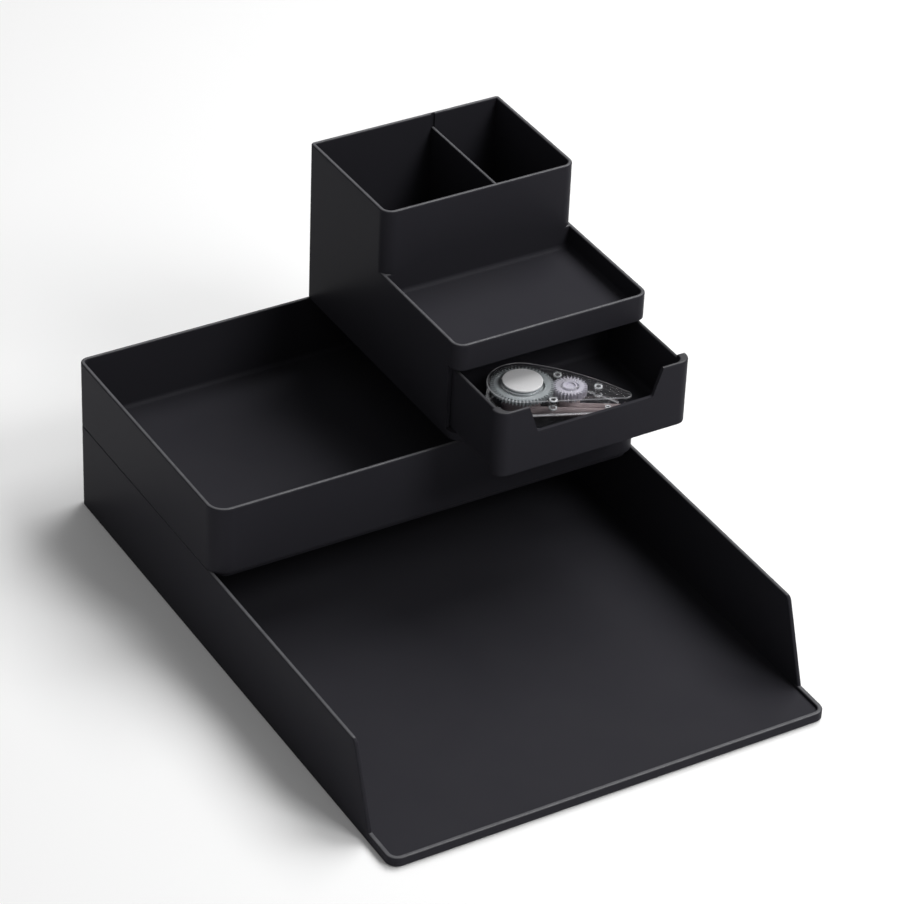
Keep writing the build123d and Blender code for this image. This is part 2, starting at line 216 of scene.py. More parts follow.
# effects that several finishes share; their lengths are metres, as in every node
def newGroup(name, inputs, outputs):
    return TreeMaker(bpy.data.node_groups.new(name, "ShaderNodeTree")).openGroup(inputs, outputs)


def makeSatinGroup():
    # fine moulded grain, with faint smudges that change the gloss
    maker = newGroup("satinGrain", [
        ("Roughness", "NodeSocketFloat", 0.3),
        ("Grain Scale", "NodeSocketFloat", 2200.0),
        ("Grain Detail", "NodeSocketFloat", 2.0),
        ("Grain Spread", "NodeSocketFloat", 0.05),
        ("Smudge Scale", "NodeSocketFloat", 14.0),
        ("Smudge Detail", "NodeSocketFloat", 4.0),
        ("Smudge Spread", "NodeSocketFloat", 0.08),
        ("Noise Middle", "NodeSocketFloat", 0.5),
    ], [("Roughness", "NodeSocketFloat"), ("Height", "NodeSocketFloat")])
    compute, value = maker.compute, maker.value
    spot = maker.add("ShaderNodeTexCoord", "Object")
    grain = maker.noise(spot, value("Grain Scale"), value("Grain Detail"))
    smudge = maker.noise(spot, value("Smudge Scale"), value("Smudge Detail"))
    grainOff = compute("SUBTRACT", grain, value("Noise Middle"))
    smudgeOff = compute("SUBTRACT", smudge, value("Noise Middle"))
    grainPart = compute("MULTIPLY", grainOff, value("Grain Spread"))
    smudgePart = compute("MULTIPLY", smudgeOff, value("Smudge Spread"))
    both = compute("ADD", grainPart, smudgePart)
    maker.give("Roughness", compute("ADD", value("Roughness"), both, clamp=True))
    maker.give("Height", grain)
    return maker.tree


def makeRimHighlightGroup():
    # mask for a painted highlight along rims and edges: 1 at a given height, fading to 0 within a short
    # band; with Crown Only, on upward faces alone
    maker = newGroup("rimHighlightMask", [
        ("Rim Height", "NodeSocketFloat", 0.05),
        ("Band", "NodeSocketFloat", 0.0008),
        ("Crown Only", "NodeSocketFloat", 1.0),
        ("Crown Gain", "NodeSocketFloat", 1.4),
        ("Breakup Scale", "NodeSocketFloat", 160.0),
        ("Breakup Detail", "NodeSocketFloat", 3.0),
        ("Breakup Lift", "NodeSocketFloat", 0.45),
        ("Mask In", "NodeSocketFloat", 0.0),
    ], [("Mask", "NodeSocketFloat")])
    compute, value = maker.compute, maker.value
    spot = maker.add("ShaderNodeTexCoord", "Object")
    off = compute("ABSOLUTE", compute("SUBTRACT", maker.upward(spot), value("Rim Height")))
    near = compute("SUBTRACT", 1.0, compute("DIVIDE", off, value("Band")), clamp=True)
    normal = maker.add("ShaderNodeNewGeometry", "Normal")
    crown = compute("MULTIPLY", maker.upward(normal), value("Crown Gain"), clamp=True)
    anyFace = compute("SUBTRACT", 1.0, value("Crown Only"))
    near = compute("MULTIPLY", near, compute("MAXIMUM", crown, anyFace))
    # noise that breaks up the painted highlight along the band
    breakup = maker.noise(spot, value("Breakup Scale"), value("Breakup Detail"))
    highlightShare = compute("MULTIPLY", near, compute("ADD", breakup, value("Breakup Lift"), clamp=True))
    maker.give("Mask", compute("MAXIMUM", highlightShare, value("Mask In")))
    return maker.tree


def makeDustGroup():
    # sparse pale specks that settle on upward faces
    maker = newGroup("settledDust", [
        ("Color", "NodeSocketColor", (0.01, 0.01, 0.01, 1)),
        ("Dust Color", "NodeSocketColor", (0.05, 0.05, 0.052, 1)),
        ("Amount", "NodeSocketFloat", 0.2),
        ("Haze Scale", "NodeSocketFloat", 35.0),
        ("Haze Detail", "NodeSocketFloat", 5.0),
    ], [("Color", "NodeSocketColor")])
    compute, value = maker.compute, maker.value
    spot = maker.add("ShaderNodeTexCoord", "Object")
    normal = maker.add("ShaderNodeNewGeometry", "Normal")
    upward = compute("MAXIMUM", maker.upward(normal), 0.0)
    haze = maker.noise(spot, value("Haze Scale"), value("Haze Detail"))
    share = compute("MULTIPLY", compute("MULTIPLY", upward, haze), value("Amount"))
    maker.give("Color", maker.mix(share, value("Color"), value("Dust Color")))
    return maker.tree


def makeCloudGroup():
    # two tints blended by noise, as in cloudy nylon, streaky film and paper fibres
    maker = newGroup("cloudTint", [
        ("First Tint", "NodeSocketColor", (0.5, 0.5, 0.5, 1)),
        ("Second Tint", "NodeSocketColor", (0.6, 0.6, 0.6, 1)),
        ("Scale", "NodeSocketFloat", 240.0),
        ("Detail", "NodeSocketFloat", 4.0),
        ("Stretch", "NodeSocketVector", (1.0, 1.0, 1.0)),
        ("Blend Start", "NodeSocketFloat", 0.0),
        ("Blend End", "NodeSocketFloat", 1.0),
    ], [("Color", "NodeSocketColor")])
    value = maker.value
    spot = maker.add("ShaderNodeTexCoord", "Object")
    drawn = maker.add("ShaderNodeVectorMath", 0, {0: spot, 1: value("Stretch")}, operation="MULTIPLY")
    cloud = maker.noise(drawn, value("Scale"), value("Detail"))
    share = maker.add("ShaderNodeMapRange", "Result", {
        "Value": cloud, "From Min": value("Blend Start"), "From Max": value("Blend End"),
    })
    maker.give("Color", maker.mix(share, value("First Tint"), value("Second Tint")))
    return maker.tree


satinGroup = makeSatinGroup()
rimHighlightGroup = makeRimHighlightGroup()
dustGroup = makeDustGroup()
cloudGroup = makeCloudGroup()


def addGrain(maker, shader, values, depth=None):
    # satin grain into the shader's roughness, and into a very shallow bump where a depth is given
    grain = maker.place("ShaderNodeGroup", values, node_tree=satinGroup)
    maker.feed(shader, {"Roughness": grain.outputs["Roughness"]})
    if depth is not None:
        bump = maker.add("ShaderNodeBump", "Normal", {
            "Strength": 1.0, "Distance": depth * mm, "Height": grain.outputs["Height"],
        })
        maker.feed(shader, {"Normal": bump})


def addRims(maker, heights, band, crownOnly):
    # one painted-highlight mask for all the edges at the given heights
    mask = 0.0
    for height in heights:
        mask = maker.add("ShaderNodeGroup", "Mask", {
            "Rim Height": height * mm, "Band": band * mm, "Crown Only": crownOnly, "Mask In": mask,
        }, node_tree=rimHighlightGroup)
    return mask


def addCloud(maker, shader, values):
    maker.feed(shader, {"Base Color": maker.add("ShaderNodeGroup", "Color", values, node_tree=cloudGroup)})


def scaled(color, share):
    return tuple(share * part for part in color[:3]) + (1,)


def dress(nodeName, material):
    slots = nodes[nodeName].data.materials
    slots.clear()
    slots.append(material)


# black mouldings
blackPlastic = {
    "color": (0.0285, 0.0278, 0.0335, 1),
    "dustColor": (0.045, 0.045, 0.048, 1),
    "dustAmount": 0.25,
    "roughness": 0.34,
    "specular": 0.018,
    "grainDepth": 0.012,
    "rimBand": 0.35,
    "rimGloss": 0.35,
    "rimGlossRoughness": 0.2,
}
# painted highlights: rim colours paler than the black, standing in for light caught along the rims
brightRimHighlight = (0.11, 0.11, 0.117, 1)
faintRimHighlight = (0.06, 0.06, 0.064, 1)
blackRims = {
    # heights of the rims with a painted highlight, and how pale it is
    "letter_tray": ((51.4, 5.6), brightRimHighlight),
    "upper_tray": ((91.0,), brightRimHighlight),
    "tower_body": ((186.0, 148.7), brightRimHighlight),
    "pen_divider": ((178.0,), brightRimHighlight),
    "drawer": ((133.4, 131.3), faintRimHighlight),
}


def makeBlack(name, rims, rimHighlightColor, settings):
    # satin black moulding, with a painted highlight making its rims paler, and a glossier coat there
    material, maker, shader = newMaterial(name)
    addGrain(maker, shader, {"Roughness": settings["roughness"]}, settings["grainDepth"])
    dusty = maker.add("ShaderNodeGroup", "Color", {
        "Color": settings["color"], "Dust Color": settings["dustColor"], "Amount": settings["dustAmount"],
    }, node_tree=dustGroup)
    # painted highlight on the rims: this mask mixes their colour paler, and also gives them a glossier coat
    mask = addRims(maker, rims, settings["rimBand"], 1.0)
    maker.feed(shader, {
        "Base Color": maker.mix(mask, dusty, rimHighlightColor),
        "Specular IOR Level": settings["specular"],
        "Coat Weight": maker.compute("MULTIPLY", mask, settings["rimGloss"]),
        "Coat Roughness": settings["rimGlossRoughness"],
    })
    return material


for nodeName, (heights, rimHighlightColor) in blackRims.items():
    dress(nodeName, makeBlack(nodeName + "_black", heights, rimHighlightColor, blackPlastic))
print("black mouldings dressed")

# clear shells of the tape runner
clearPlastic = {
    "tint": (0.97, 0.98, 0.99, 1),
    "ior": 1.49,
    "transmission": 0.95,
    "roughness": 0.02,
    "smudgeScale": 60.0,
    "smudgeSpread": 0.03,
    "faceAlpha": 0.03,        # looking straight at a face
    "slantAlpha": 0.4,        # looking along it
    "slantBlend": 0.4,
    "edgeBand": 0.45,
}
clearShells = {
    # material, heights of the edges, and the colour of the painted highlight that they glow with
    "runner_base_shell": ("clearBase", (105.7, 98.15), (0.1, 0.1, 0.105, 1)),
    "runner_cover_shell": ("clearCover", (114.65, 106.1), (0.26, 0.26, 0.27, 1)),
}


def makeClear(name, edges, edgeHighlightGlow, settings):
    # clear moulding: faces nearly invisible, and edges with a painted highlight that glows
    material, maker, shader = newMaterial(name)
    addGrain(maker, shader, {
        "Roughness": settings["roughness"], "Grain Spread": 0.0,
        "Smudge Scale": settings["smudgeScale"], "Smudge Spread": settings["smudgeSpread"],
    })
    # painted highlight: the edge mask makes the edges glow by emission and more opaque
    mask = addRims(maker, edges, settings["edgeBand"], 0.0)
    slant = maker.add("ShaderNodeLayerWeight", "Facing", {"Blend": settings["slantBlend"]})
    alpha = maker.add("ShaderNodeMapRange", "Result", {
        "Value": slant, "To Min": settings["faceAlpha"], "To Max": settings["slantAlpha"],
    })
    maker.feed(shader, {
        "Base Color": settings["tint"],
        "IOR": settings["ior"],
        "Transmission Weight": settings["transmission"],
        "Alpha": maker.compute("MAXIMUM", alpha, mask),
        "Emission Color": maker.mix(mask, dark, edgeHighlightGlow),
        "Emission Strength": 1.0,
    })
    return material


# release film, on the rolls and between them
filmPlastic = {
    "tint": (0.34, 0.27, 0.28, 1),
    "streakTint": (0.5, 0.42, 0.43, 1),
    "streakScale": 190.0,
    "streakDetail": 3.0,
    "streakStretch": (1.0, 1.0, 14.0),
    "streakStart": 0.35,
    "streakEnd": 0.65,
    "specular": 0.6,
    "roughness": 0.28,
    "smudgeScale": 150.0,
}


def makeFilm(name, settings):
    # glossy film with fine streaks along its length
    material, maker, shader = newMaterial(name)
    addCloud(maker, shader, {
        "First Tint": settings["tint"], "Second Tint": settings["streakTint"],
        "Scale": settings["streakScale"], "Detail": settings["streakDetail"],
        "Stretch": settings["streakStretch"],
        "Blend Start": settings["streakStart"], "Blend End": settings["streakEnd"],
    })
    addGrain(maker, shader, {"Roughness": settings["roughness"], "Smudge Scale": settings["smudgeScale"]})
    maker.feed(shader, {"Specular IOR Level": settings["specular"]})
    return material


# translucent natural nylon of the gears and rollers
milkyNylon = {
    "ior": 1.5,
    "roughness": 0.38,
    "grainScale": 1500.0,
    "smudgeScale": 90.0,
    "grainDepth": 0.01,
    "cloudShare": 0.86,       # brightness of the clouds against the colour
    "cloudScale": 240.0,
    "cloudDetail": 4.0,
    "cloudStart": 0.3,
    "cloudEnd": 0.7,
    "scatter": 0.06,
    "scatterReach": (2.0, 2.0, 2.2),
}
milkyParts = {
    # colour, and how much light passes through
    "supply": ((0.5, 0.54, 0.56, 1), 0.08),
    "takeup": ((0.68, 0.66, 0.75, 1), 0.04),
    "roller": ((0.75, 0.77, 0.8, 1), 0.2),
}


def makeMilky(name, color, transmission, settings):
    # cloudy inside, satin outside
    material, maker, shader = newMaterial(name)
    addGrain(maker, shader, {
        "Roughness": settings["roughness"], "Grain Scale": settings["grainScale"],
        "Smudge Scale": settings["smudgeScale"],
    }, settings["grainDepth"])
    addCloud(maker, shader, {
        "First Tint": scaled(color, settings["cloudShare"]), "Second Tint": color,
        "Scale": settings["cloudScale"], "Detail": settings["cloudDetail"],
        "Blend Start": settings["cloudStart"], "Blend End": settings["cloudEnd"],
    })
    maker.feed(shader, {
        "IOR": settings["ior"],
        "Transmission Weight": transmission,
        "Subsurface Weight": settings["scatter"],
        "Subsurface Radius": tuple(reach * mm for reach in settings["scatterReach"]),
        "Subsurface Scale": 1.0,
    })
    return material


# blank label disc
labelPaper = {
    "color": (0.9, 0.9, 0.91, 1),
    "fibreShare": 0.93,       # brightness of the fibres against the colour
    "fibreScale": 700.0,
    "fibreDetail": 5.0,
    "roughness": 0.42,
    "grainScale": 900.0,
    "grainDepth": 0.02,
}


def makeLabel(name, settings):
    # satin paper with faint fibres
    material, maker, shader = newMaterial(name)
    addGrain(maker, shader, {
        "Roughness": settings["roughness"], "Grain Scale": settings["grainScale"],
    }, settings["grainDepth"])
    addCloud(maker, shader, {
        "First Tint": scaled(settings["color"], settings["fibreShare"]), "Second Tint": settings["color"],
        "Scale": settings["fibreScale"], "Detail": settings["fibreDetail"],
    })
    return material


filmFinish = makeFilm("releaseFilm", filmPlastic)
for nodeName, (materialName, edges, edgeHighlightGlow) in clearShells.items():
    dress(nodeName, makeClear(materialName, edges, edgeHighlightGlow, clearPlastic))
milkyFinishes = {
    partName: makeMilky(partName + "Milky", color, transmission, milkyNylon)
    for partName, (color, transmission) in milkyParts.items()
}
dress("guide_roller", milkyFinishes["roller"])
dress("tip_roller", milkyFinishes["roller"])
dress("runner_label_disc", makeLabel("blankLabel", labelPaper))
print("tape runner dressed")

turnedSides = 64    # flats round a turned form


class ShapeMaker(TreeMaker):
    # the same short calls, with those that make forms
    def lift(self, geometry, height):
        return self.add("GeometryNodeTransform", 0, {
            "Geometry": geometry, "Translation": self.vector(0.0, 0.0, height),
        })

    def join(self, *parts):
        node = self.place("GeometryNodeJoinGeometry")
        for part in parts:
            self.tree.links.new(part, node.inputs[0])
        return node.outputs[0]

    def circle(self, radius, sides=turnedSides):
        return self.add("GeometryNodeCurvePrimitiveCircle", 0, {"Resolution": sides, "Radius": radius})

    def strip(self, width, height):
        return self.add("GeometryNodeCurvePrimitiveQuadrilateral", 0, {"Width": width, "Height": height})

    def sweep(self, path, section, caps=False):
        return self.add("GeometryNodeCurveToMesh", 0, {
            "Curve": path, "Profile Curve": section, "Fill Caps": caps,
        })

    def drum(self, radius, low, high):
        # closed cylinder between two heights
        depth = self.compute("SUBTRACT", high, low)
        body = self.add("GeometryNodeMeshCylinder", 0, {
            "Vertices": turnedSides, "Radius": radius, "Depth": depth,
        })
        return self.lift(body, self.compute("MULTIPLY", self.compute("ADD", low, high), 0.5))

    def ringPlate(self, outer, inner, low, high):
        # flat plate between two closed curves, between two heights
        face = self.add("GeometryNodeFillCurve", 0, {"Curve": self.join(outer, inner)})
        raised = self.add("GeometryNodeExtrudeMesh", 0, {
            "Mesh": face, "Offset": self.vector(0.0, 0.0, 1.0),
            "Offset Scale": self.compute("SUBTRACT", high, low), "Individual": False,
        })
        under = self.add("GeometryNodeFlipFaces", 0, {"Mesh": face})
        return self.lift(self.join(raised, under), low)

    def finish(self, geometry):
        # every tree ends in Realize Instances and Set Material
        real = self.add("GeometryNodeRealizeInstances", 0, {"Geometry": geometry})
        self.give("Geometry", self.add("GeometryNodeSetMaterial", 0, {
            "Geometry": real, "Material": self.value("Material"),
        }))
        return self.tree


def newShape(name, inputs):
    # geometry tree with the inputs given, and one for its material
    tree = bpy.data.node_groups.new(name, "GeometryNodeTree")
    material = ("Material", "NodeSocketMaterial", None)
    return ShapeMaker(tree).openGroup(inputs + [material], [("Geometry", "NodeSocketGeometry")])


def bakeTree(name, tree, values, start=None):
    # run a tree on an empty mesh, or on the one given, and keep its result as a plain mesh
    holder = bpy.data.objects.new(name + "_holder", start or bpy.data.meshes.new(name + "_holder"))
    scene.collection.objects.link(holder)
    modifier = holder.modifiers.new(name, "NODES")
    modifier.node_group = tree
    for item in tree.interface.items_tree:
        if item.item_type == "SOCKET" and item.in_out == "INPUT" and item.name in values:
            modifier[item.identifier] = values[item.name]
    depsgraph = bpy.context.evaluated_depsgraph_get()
    mesh = bpy.data.meshes.new_from_object(holder.evaluated_get(depsgraph))
    mesh.name = name
    bpy.data.objects.remove(holder)
    piece = bpy.data.objects.new(name, mesh)
    scene.collection.objects.link(piece)
    return piece


# where the tape runner lies, and its geared wheels; their heights are above the drawer's floor
runnerPlace = {
    "axle": (52.0, 15.5),        # supply axle
    "floor": 97.7,               # top of the drawer's floor
    "turn": -37.0,               # degrees, the runner's long axis
    "takeupBearing": 7.0,        # degrees from that axis to the take-up axle
}
gearSettings = {
    "module": 0.6,
    "backlash": 0.36,
    "rootDepth": 1.25,           # below the pitch circle
    "flank": 0.216,
    "toothTop": 15.7,
    "hubBottom": 1.6,
    "supply": {
        "teeth": 53, "thickness": 2.6, "ringInner": 11.7, "web": 0.6, "stemRadius": 8.5, "stemTop": 17.7,
        "bowlRadius": 4.0, "bowlDepth": 0.3, "hubRadius": 7.0,
    },
    "takeup": {
        "teeth": 28, "thickness": 4.2, "ringInner": 4.8, "web": 0.4, "stemRadius": 3.7, "stemTop": 16.2,
        "bowlRadius": 2.9, "bowlDepth": 0.9, "hubRadius": 4.2,
    },
}


def makeGearTree():
    # toothed ring, thin web, stem with a shallow bowl, and a hub below
    maker = newShape("fineGear", [
        ("Teeth", "NodeSocketInt", 28),
        ("Root Radius", "NodeSocketFloat", 0.0075),
        ("Tip Radius", "NodeSocketFloat", 0.009),
        ("Half Tooth", "NodeSocketFloat", 0.0004),
        ("Flank", "NodeSocketFloat", 0.0002),
        ("Turn", "NodeSocketFloat", 0.0),
        ("Bottom", "NodeSocketFloat", 0.0),
        ("Top", "NodeSocketFloat", 0.003),
        ("Ring Inner", "NodeSocketFloat", 0.005),
        ("Web", "NodeSocketFloat", 0.001),
        ("Web Overlap", "NodeSocketFloat", 0.0001),
        ("Stem Radius", "NodeSocketFloat", 0.004),
        ("Stem Top", "NodeSocketFloat", 0.004),
        ("Bowl Radius", "NodeSocketFloat", 0.002),
        ("Bowl Depth", "NodeSocketFloat", 0.0005),
        ("Hub Radius", "NodeSocketFloat", 0.004),
        ("Hub Bottom", "NodeSocketFloat", -0.01),
        ("Centre", "NodeSocketVector", (0.0, 0.0, 0.0)),
    ])
    add, compute, value = maker.add, maker.compute, maker.value
    cornerCount, middleCorner = 4.0, 1.5    # a tooth has root, tip, tip and root, counted from 0
    index = add("GeometryNodeInputIndex", 0)
    tooth = compute("FLOOR", compute("DIVIDE", index, cornerCount))
    fromMiddle = compute("SUBTRACT", compute("MODULO", index, cornerCount), middleCorner)
    isTip = compute("LESS_THAN", compute("ABSOLUTE", fromMiddle), 1.0)
    side = compute("SIGN", fromMiddle)
    reach = compute("SUBTRACT", value("Tip Radius"), value("Root Radius"))
    radius = compute("ADD", value("Root Radius"), compute("MULTIPLY", isTip, reach))
    lean = compute("MULTIPLY", value("Flank"), compute("SUBTRACT", 1.0, compute("MULTIPLY", isTip, 2.0)))
    offset = compute("MULTIPLY", side, compute("DIVIDE", compute("ADD", value("Half Tooth"), lean), radius))
    step = compute("MULTIPLY", tooth, compute("DIVIDE", 2 * math.pi, value("Teeth")))
    angle = compute("ADD", compute("ADD", value("Turn"), step), offset)
    x = compute("MULTIPLY", radius, compute("COSINE", angle))
    y = compute("MULTIPLY", radius, compute("SINE", angle))
    loop = add("GeometryNodeMeshCircle", 0, {"Vertices": compute("MULTIPLY", value("Teeth"), cornerCount)})
    teeth = add("GeometryNodeSetPosition", 0, {"Geometry": loop, "Position": maker.vector(x, y, 0.0)})
    toothed = add("GeometryNodeMeshToCurve", 0, {"Mesh": teeth})

    ring = maker.ringPlate(toothed, maker.circle(value("Ring Inner")), value("Bottom"), value("Top"))
    webTop = compute("ADD", value("Bottom"), value("Web"))
    webRadius = compute("ADD", value("Ring Inner"), value("Web Overlap"))
    web = maker.drum(webRadius, value("Bottom"), webTop)
    bowl = compute("SUBTRACT", value("Stem Top"), value("Bowl Depth"))
    stem = maker.drum(value("Stem Radius"), webTop, bowl)
    lip = maker.ringPlate(
        maker.circle(value("Stem Radius")), maker.circle(value("Bowl Radius")), bowl, value("Stem Top")
    )
    hub = maker.drum(value("Hub Radius"), value("Hub Bottom"), value("Bottom"))
    whole = maker.join(ring, web, stem, lip, hub)
    return maker.finish(add("GeometryNodeTransform", 0, {"Geometry": whole, "Translation": value("Centre")}))


def runnerPoint(along, aside):
    # a place on the runner, from the supply axle along and beside its long axis
    turn = math.radians(runnerPlace["turn"])
    x = runnerPlace["axle"][0] + along * math.cos(turn) - aside * math.sin(turn)
    y = runnerPlace["axle"][1] + along * math.sin(turn) + aside * math.cos(turn)
    return x, y


module = gearSettings["module"]
supplyTeeth, takeupTeeth = gearSettings["supply"]["teeth"], gearSettings["takeup"]["teeth"]
centreGap = module * (supplyTeeth + takeupTeeth) / 2
bearing = math.radians(runnerPlace["takeupBearing"])
takeupSpot = (centreGap * math.cos(bearing), centreGap * math.sin(bearing))
meshingTurn = math.radians(runnerPlace["turn"] + runnerPlace["takeupBearing"])    # line between the axles
gearPlaces = {
    "supply": (runnerPoint(0, 0), meshingTurn),
    "takeup": (runnerPoint(*takeupSpot), meshingTurn + math.pi + math.pi / takeupTeeth),
}
gearTree = makeGearTree()
for gearName, (gearCentre, gearTurn) in gearPlaces.items():
    wheel = gearSettings[gearName]
    pitchRadius = module * wheel["teeth"] / 2
    gearPiece = bakeTree(gearName + "_fine_gear", gearTree, {
        "Teeth": wheel["teeth"],
        "Root Radius": (pitchRadius - gearSettings["rootDepth"]) * mm,
        "Tip Radius": (pitchRadius + module) * mm,
        "Half Tooth": (math.pi * module / 2 - gearSettings["backlash"]) / 2 * mm,
        "Flank": gearSettings["flank"] * mm,
        "Turn": gearTurn,
        "Bottom": (gearSettings["toothTop"] - wheel["thickness"]) * mm,
        "Top": gearSettings["toothTop"] * mm,
        "Ring Inner": wheel["ringInner"] * mm,
        "Web": wheel["web"] * mm,
        "Stem Radius": wheel["stemRadius"] * mm,
        "Stem Top": wheel["stemTop"] * mm,
        "Bowl Radius": wheel["bowlRadius"] * mm,
        "Bowl Depth": wheel["bowlDepth"] * mm,
        "Hub Radius": wheel["hubRadius"] * mm,
        "Hub Bottom": gearSettings["hubBottom"] * mm,
        "Centre": (gearCentre[0] * mm, gearCentre[1] * mm, runnerPlace["floor"] * mm),
        "Material": milkyFinishes[gearName],
    })
    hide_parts(gearName + "_gear")
    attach(gearPiece, gearName + "_reel")
print("gears cut")

# rings at the ends of the snap posts
postSettings = {
    "places": [(16.8, 12.0), (38.5, 5.0), (17.0, -11.2)],    # along and beside the runner
    "heights": [15.6, 10.7],     # above the drawer's floor
    "ringRadius": 1.75,
    "ringSides": 40,
    "sectionRadius": 0.5,
    "sectionSides": 10,
}


def makeRingTree():
    # small rings at points of a mesh
    maker = newShape("postRings", [
        ("Points", "NodeSocketGeometry", None),
        ("Ring Radius", "NodeSocketFloat", 0.0018),
        ("Ring Sides", "NodeSocketInt", 40),
        ("Section Radius", "NodeSocketFloat", 0.0004),
        ("Section Sides", "NodeSocketInt", 10),
    ])
    path = maker.circle(maker.value("Ring Radius"), maker.value("Ring Sides"))
    section = maker.circle(maker.value("Section Radius"), maker.value("Section Sides"))
    return maker.finish(maker.add("GeometryNodeInstanceOnPoints", 0, {
        "Points": maker.value("Points"), "Instance": maker.sweep(path, section),
    }))


ringPoints = bpy.data.meshes.new("postPoints")
ringPoints.from_pydata([
    (x * mm, y * mm, (runnerPlace["floor"] + height) * mm)
    for x, y in (runnerPoint(*place) for place in postSettings["places"])
    for height in postSettings["heights"]
], [], [])
postRings = bakeTree("snap_post_rings", makeRingTree(), {
    "Ring Radius": postSettings["ringRadius"] * mm,
    "Ring Sides": postSettings["ringSides"],
    "Section Radius": postSettings["sectionRadius"] * mm,
    "Section Sides": postSettings["sectionSides"],
    "Material": milkyFinishes["roller"],
}, ringPoints)
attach(postRings, "runner")
print("post rings set")

# film between the rolls
filmSettings = {
    "thickness": 0.2,
    "width": 6.0,
    "top": 9.6,                  # above the drawer's floor
    "standOff": 0.5,             # middle of the film off what it runs round
    "supplyRadius": 10.0,
    "takeupRadius": 5.8,
    "rollerRadius": 1.5,
    "guidePlace": (44.5, -3.2),
    "tipPlace": (52.8, -1.6),
    "arcStep": 6.0,              # degrees between two points on a bend
}


def tangentEnds(first, second):
    # straight stretch between two round parts; side is 1 for one to the left of the way, -1 to the right
    (centreA, radiusA, sideA), (centreB, radiusB, sideB) = first, second
    dx, dy = centreB[0] - centreA[0], centreB[1] - centreA[1]
    heading = math.atan2(dy, dx) - math.asin((sideB * radiusB - sideA * radiusA) / math.hypot(dx, dy))
    left = (-math.sin(heading), math.cos(heading))
    return [
        (centre[0] - side * radius * left[0], centre[1] - side * radius * left[1])
        for centre, radius, side in (first, second)
    ]


def bend(centre, start, end, arcStep):
    # points round a centre, against the clock from one end to the other
    radius = math.dist(start, centre)
    first = math.atan2(start[1] - centre[1], start[0] - centre[0])
    last = math.atan2(end[1] - centre[1], end[0] - centre[0])
    turn = (last - first) % (2 * math.pi)
    steps = max(2, math.ceil(math.degrees(turn) / arcStep))
    angles = [first + turn * step / steps for step in range(steps + 1)]
    return [(centre[0] + radius * math.cos(angle), centre[1] + radius * math.sin(angle)) for angle in angles]


def filmPath(settings, takeupPlace):
    # from the supply roll, round the guide and tip rollers, back to the take-up roll
    roller = settings["rollerRadius"] + settings["standOff"]
    stops = [
        ((0.0, 0.0), settings["supplyRadius"] + settings["standOff"], 1),
        (settings["guidePlace"], roller, 1),
        (settings["tipPlace"], roller, 1),
        (takeupPlace, settings["takeupRadius"] + settings["standOff"], -1),
    ]
    stretches = [tangentEnds(a, b) for a, b in zip(stops, stops[1:])]
    points = [stretches[0][0]]
    for stop, before, after in zip(stops[1:], stretches, stretches[1:]):
        points += bend(stop[0], before[1], after[0], settings["arcStep"])
    return points + [stretches[-1][1]]


def makeFilmTree():
    # a thin upright band along the edges of a mesh
    maker = newShape("filmBand", [
        ("Path", "NodeSocketGeometry", None),
        ("Thickness", "NodeSocketFloat", 0.0002),
        ("Width", "NodeSocketFloat", 0.006),
    ])
    path = maker.add("GeometryNodeMeshToCurve", 0, {"Mesh": maker.value("Path")})
    section = maker.strip(maker.value("Thickness"), maker.value("Width"))
    return maker.finish(maker.sweep(path, section, True))


filmHeight = runnerPlace["floor"] + filmSettings["top"] - filmSettings["width"] / 2
pathPoints = [runnerPoint(*point) for point in filmPath(filmSettings, takeupSpot)]
pathMesh = bpy.data.meshes.new("filmPath")
pathMesh.from_pydata(
    [(x * mm, y * mm, filmHeight * mm) for x, y in pathPoints],
    [(index, index + 1) for index in range(len(pathPoints) - 1)], [],
)
band = bakeTree("film_band", makeFilmTree(), {
    "Thickness": filmSettings["thickness"] * mm,
    "Width": filmSettings["width"] * mm,
    "Material": filmFinish,
}, pathMesh)
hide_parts("transfer_tape")
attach(band, "runner")
print("film strung")

# wound rolls of film
rollSettings = {
    "turnGap": 0.045,            # between two turns
    "pointsPerTurn": 60,
    "widthShare": 0.985,         # of the plain roll's height
    "supply": {"node": "supply_tape_roll", "body": "supply_reel", "turns": 13, "inner": 7.15, "outer": 9.9},
    "takeup": {"node": "takeup_tape_roll", "body": "takeup_reel", "turns": 7, "inner": 4.33, "outer": 5.7},
}


def makeRollTree():
    # a flat spiral with a tall, thin section: one film wound on its core
    maker = newShape("woundFilm", [
        ("Turns", "NodeSocketFloat", 12.0),
        ("Inner Radius", "NodeSocketFloat", 0.007),
        ("Outer Radius", "NodeSocketFloat", 0.01),
        ("Points Per Turn", "NodeSocketInt", 60),
        ("Film Thickness", "NodeSocketFloat", 0.0002),
        ("Film Width", "NodeSocketFloat", 0.008),
        ("Centre", "NodeSocketVector", (0.0, 0.0, 0.0)),
    ])
    value = maker.value
    spiral = maker.add("GeometryNodeCurveSpiral", 0, {
        "Resolution": value("Points Per Turn"), "Rotations": value("Turns"),
        "Start Radius": value("Inner Radius"), "End Radius": value("Outer Radius"), "Height": 0.0,
    })
    wound = maker.sweep(spiral, maker.strip(value("Film Thickness"), value("Film Width")), True)
    return maker.finish(maker.add("GeometryNodeTransform", 0, {
        "Geometry": wound, "Translation": value("Centre"),
    }))


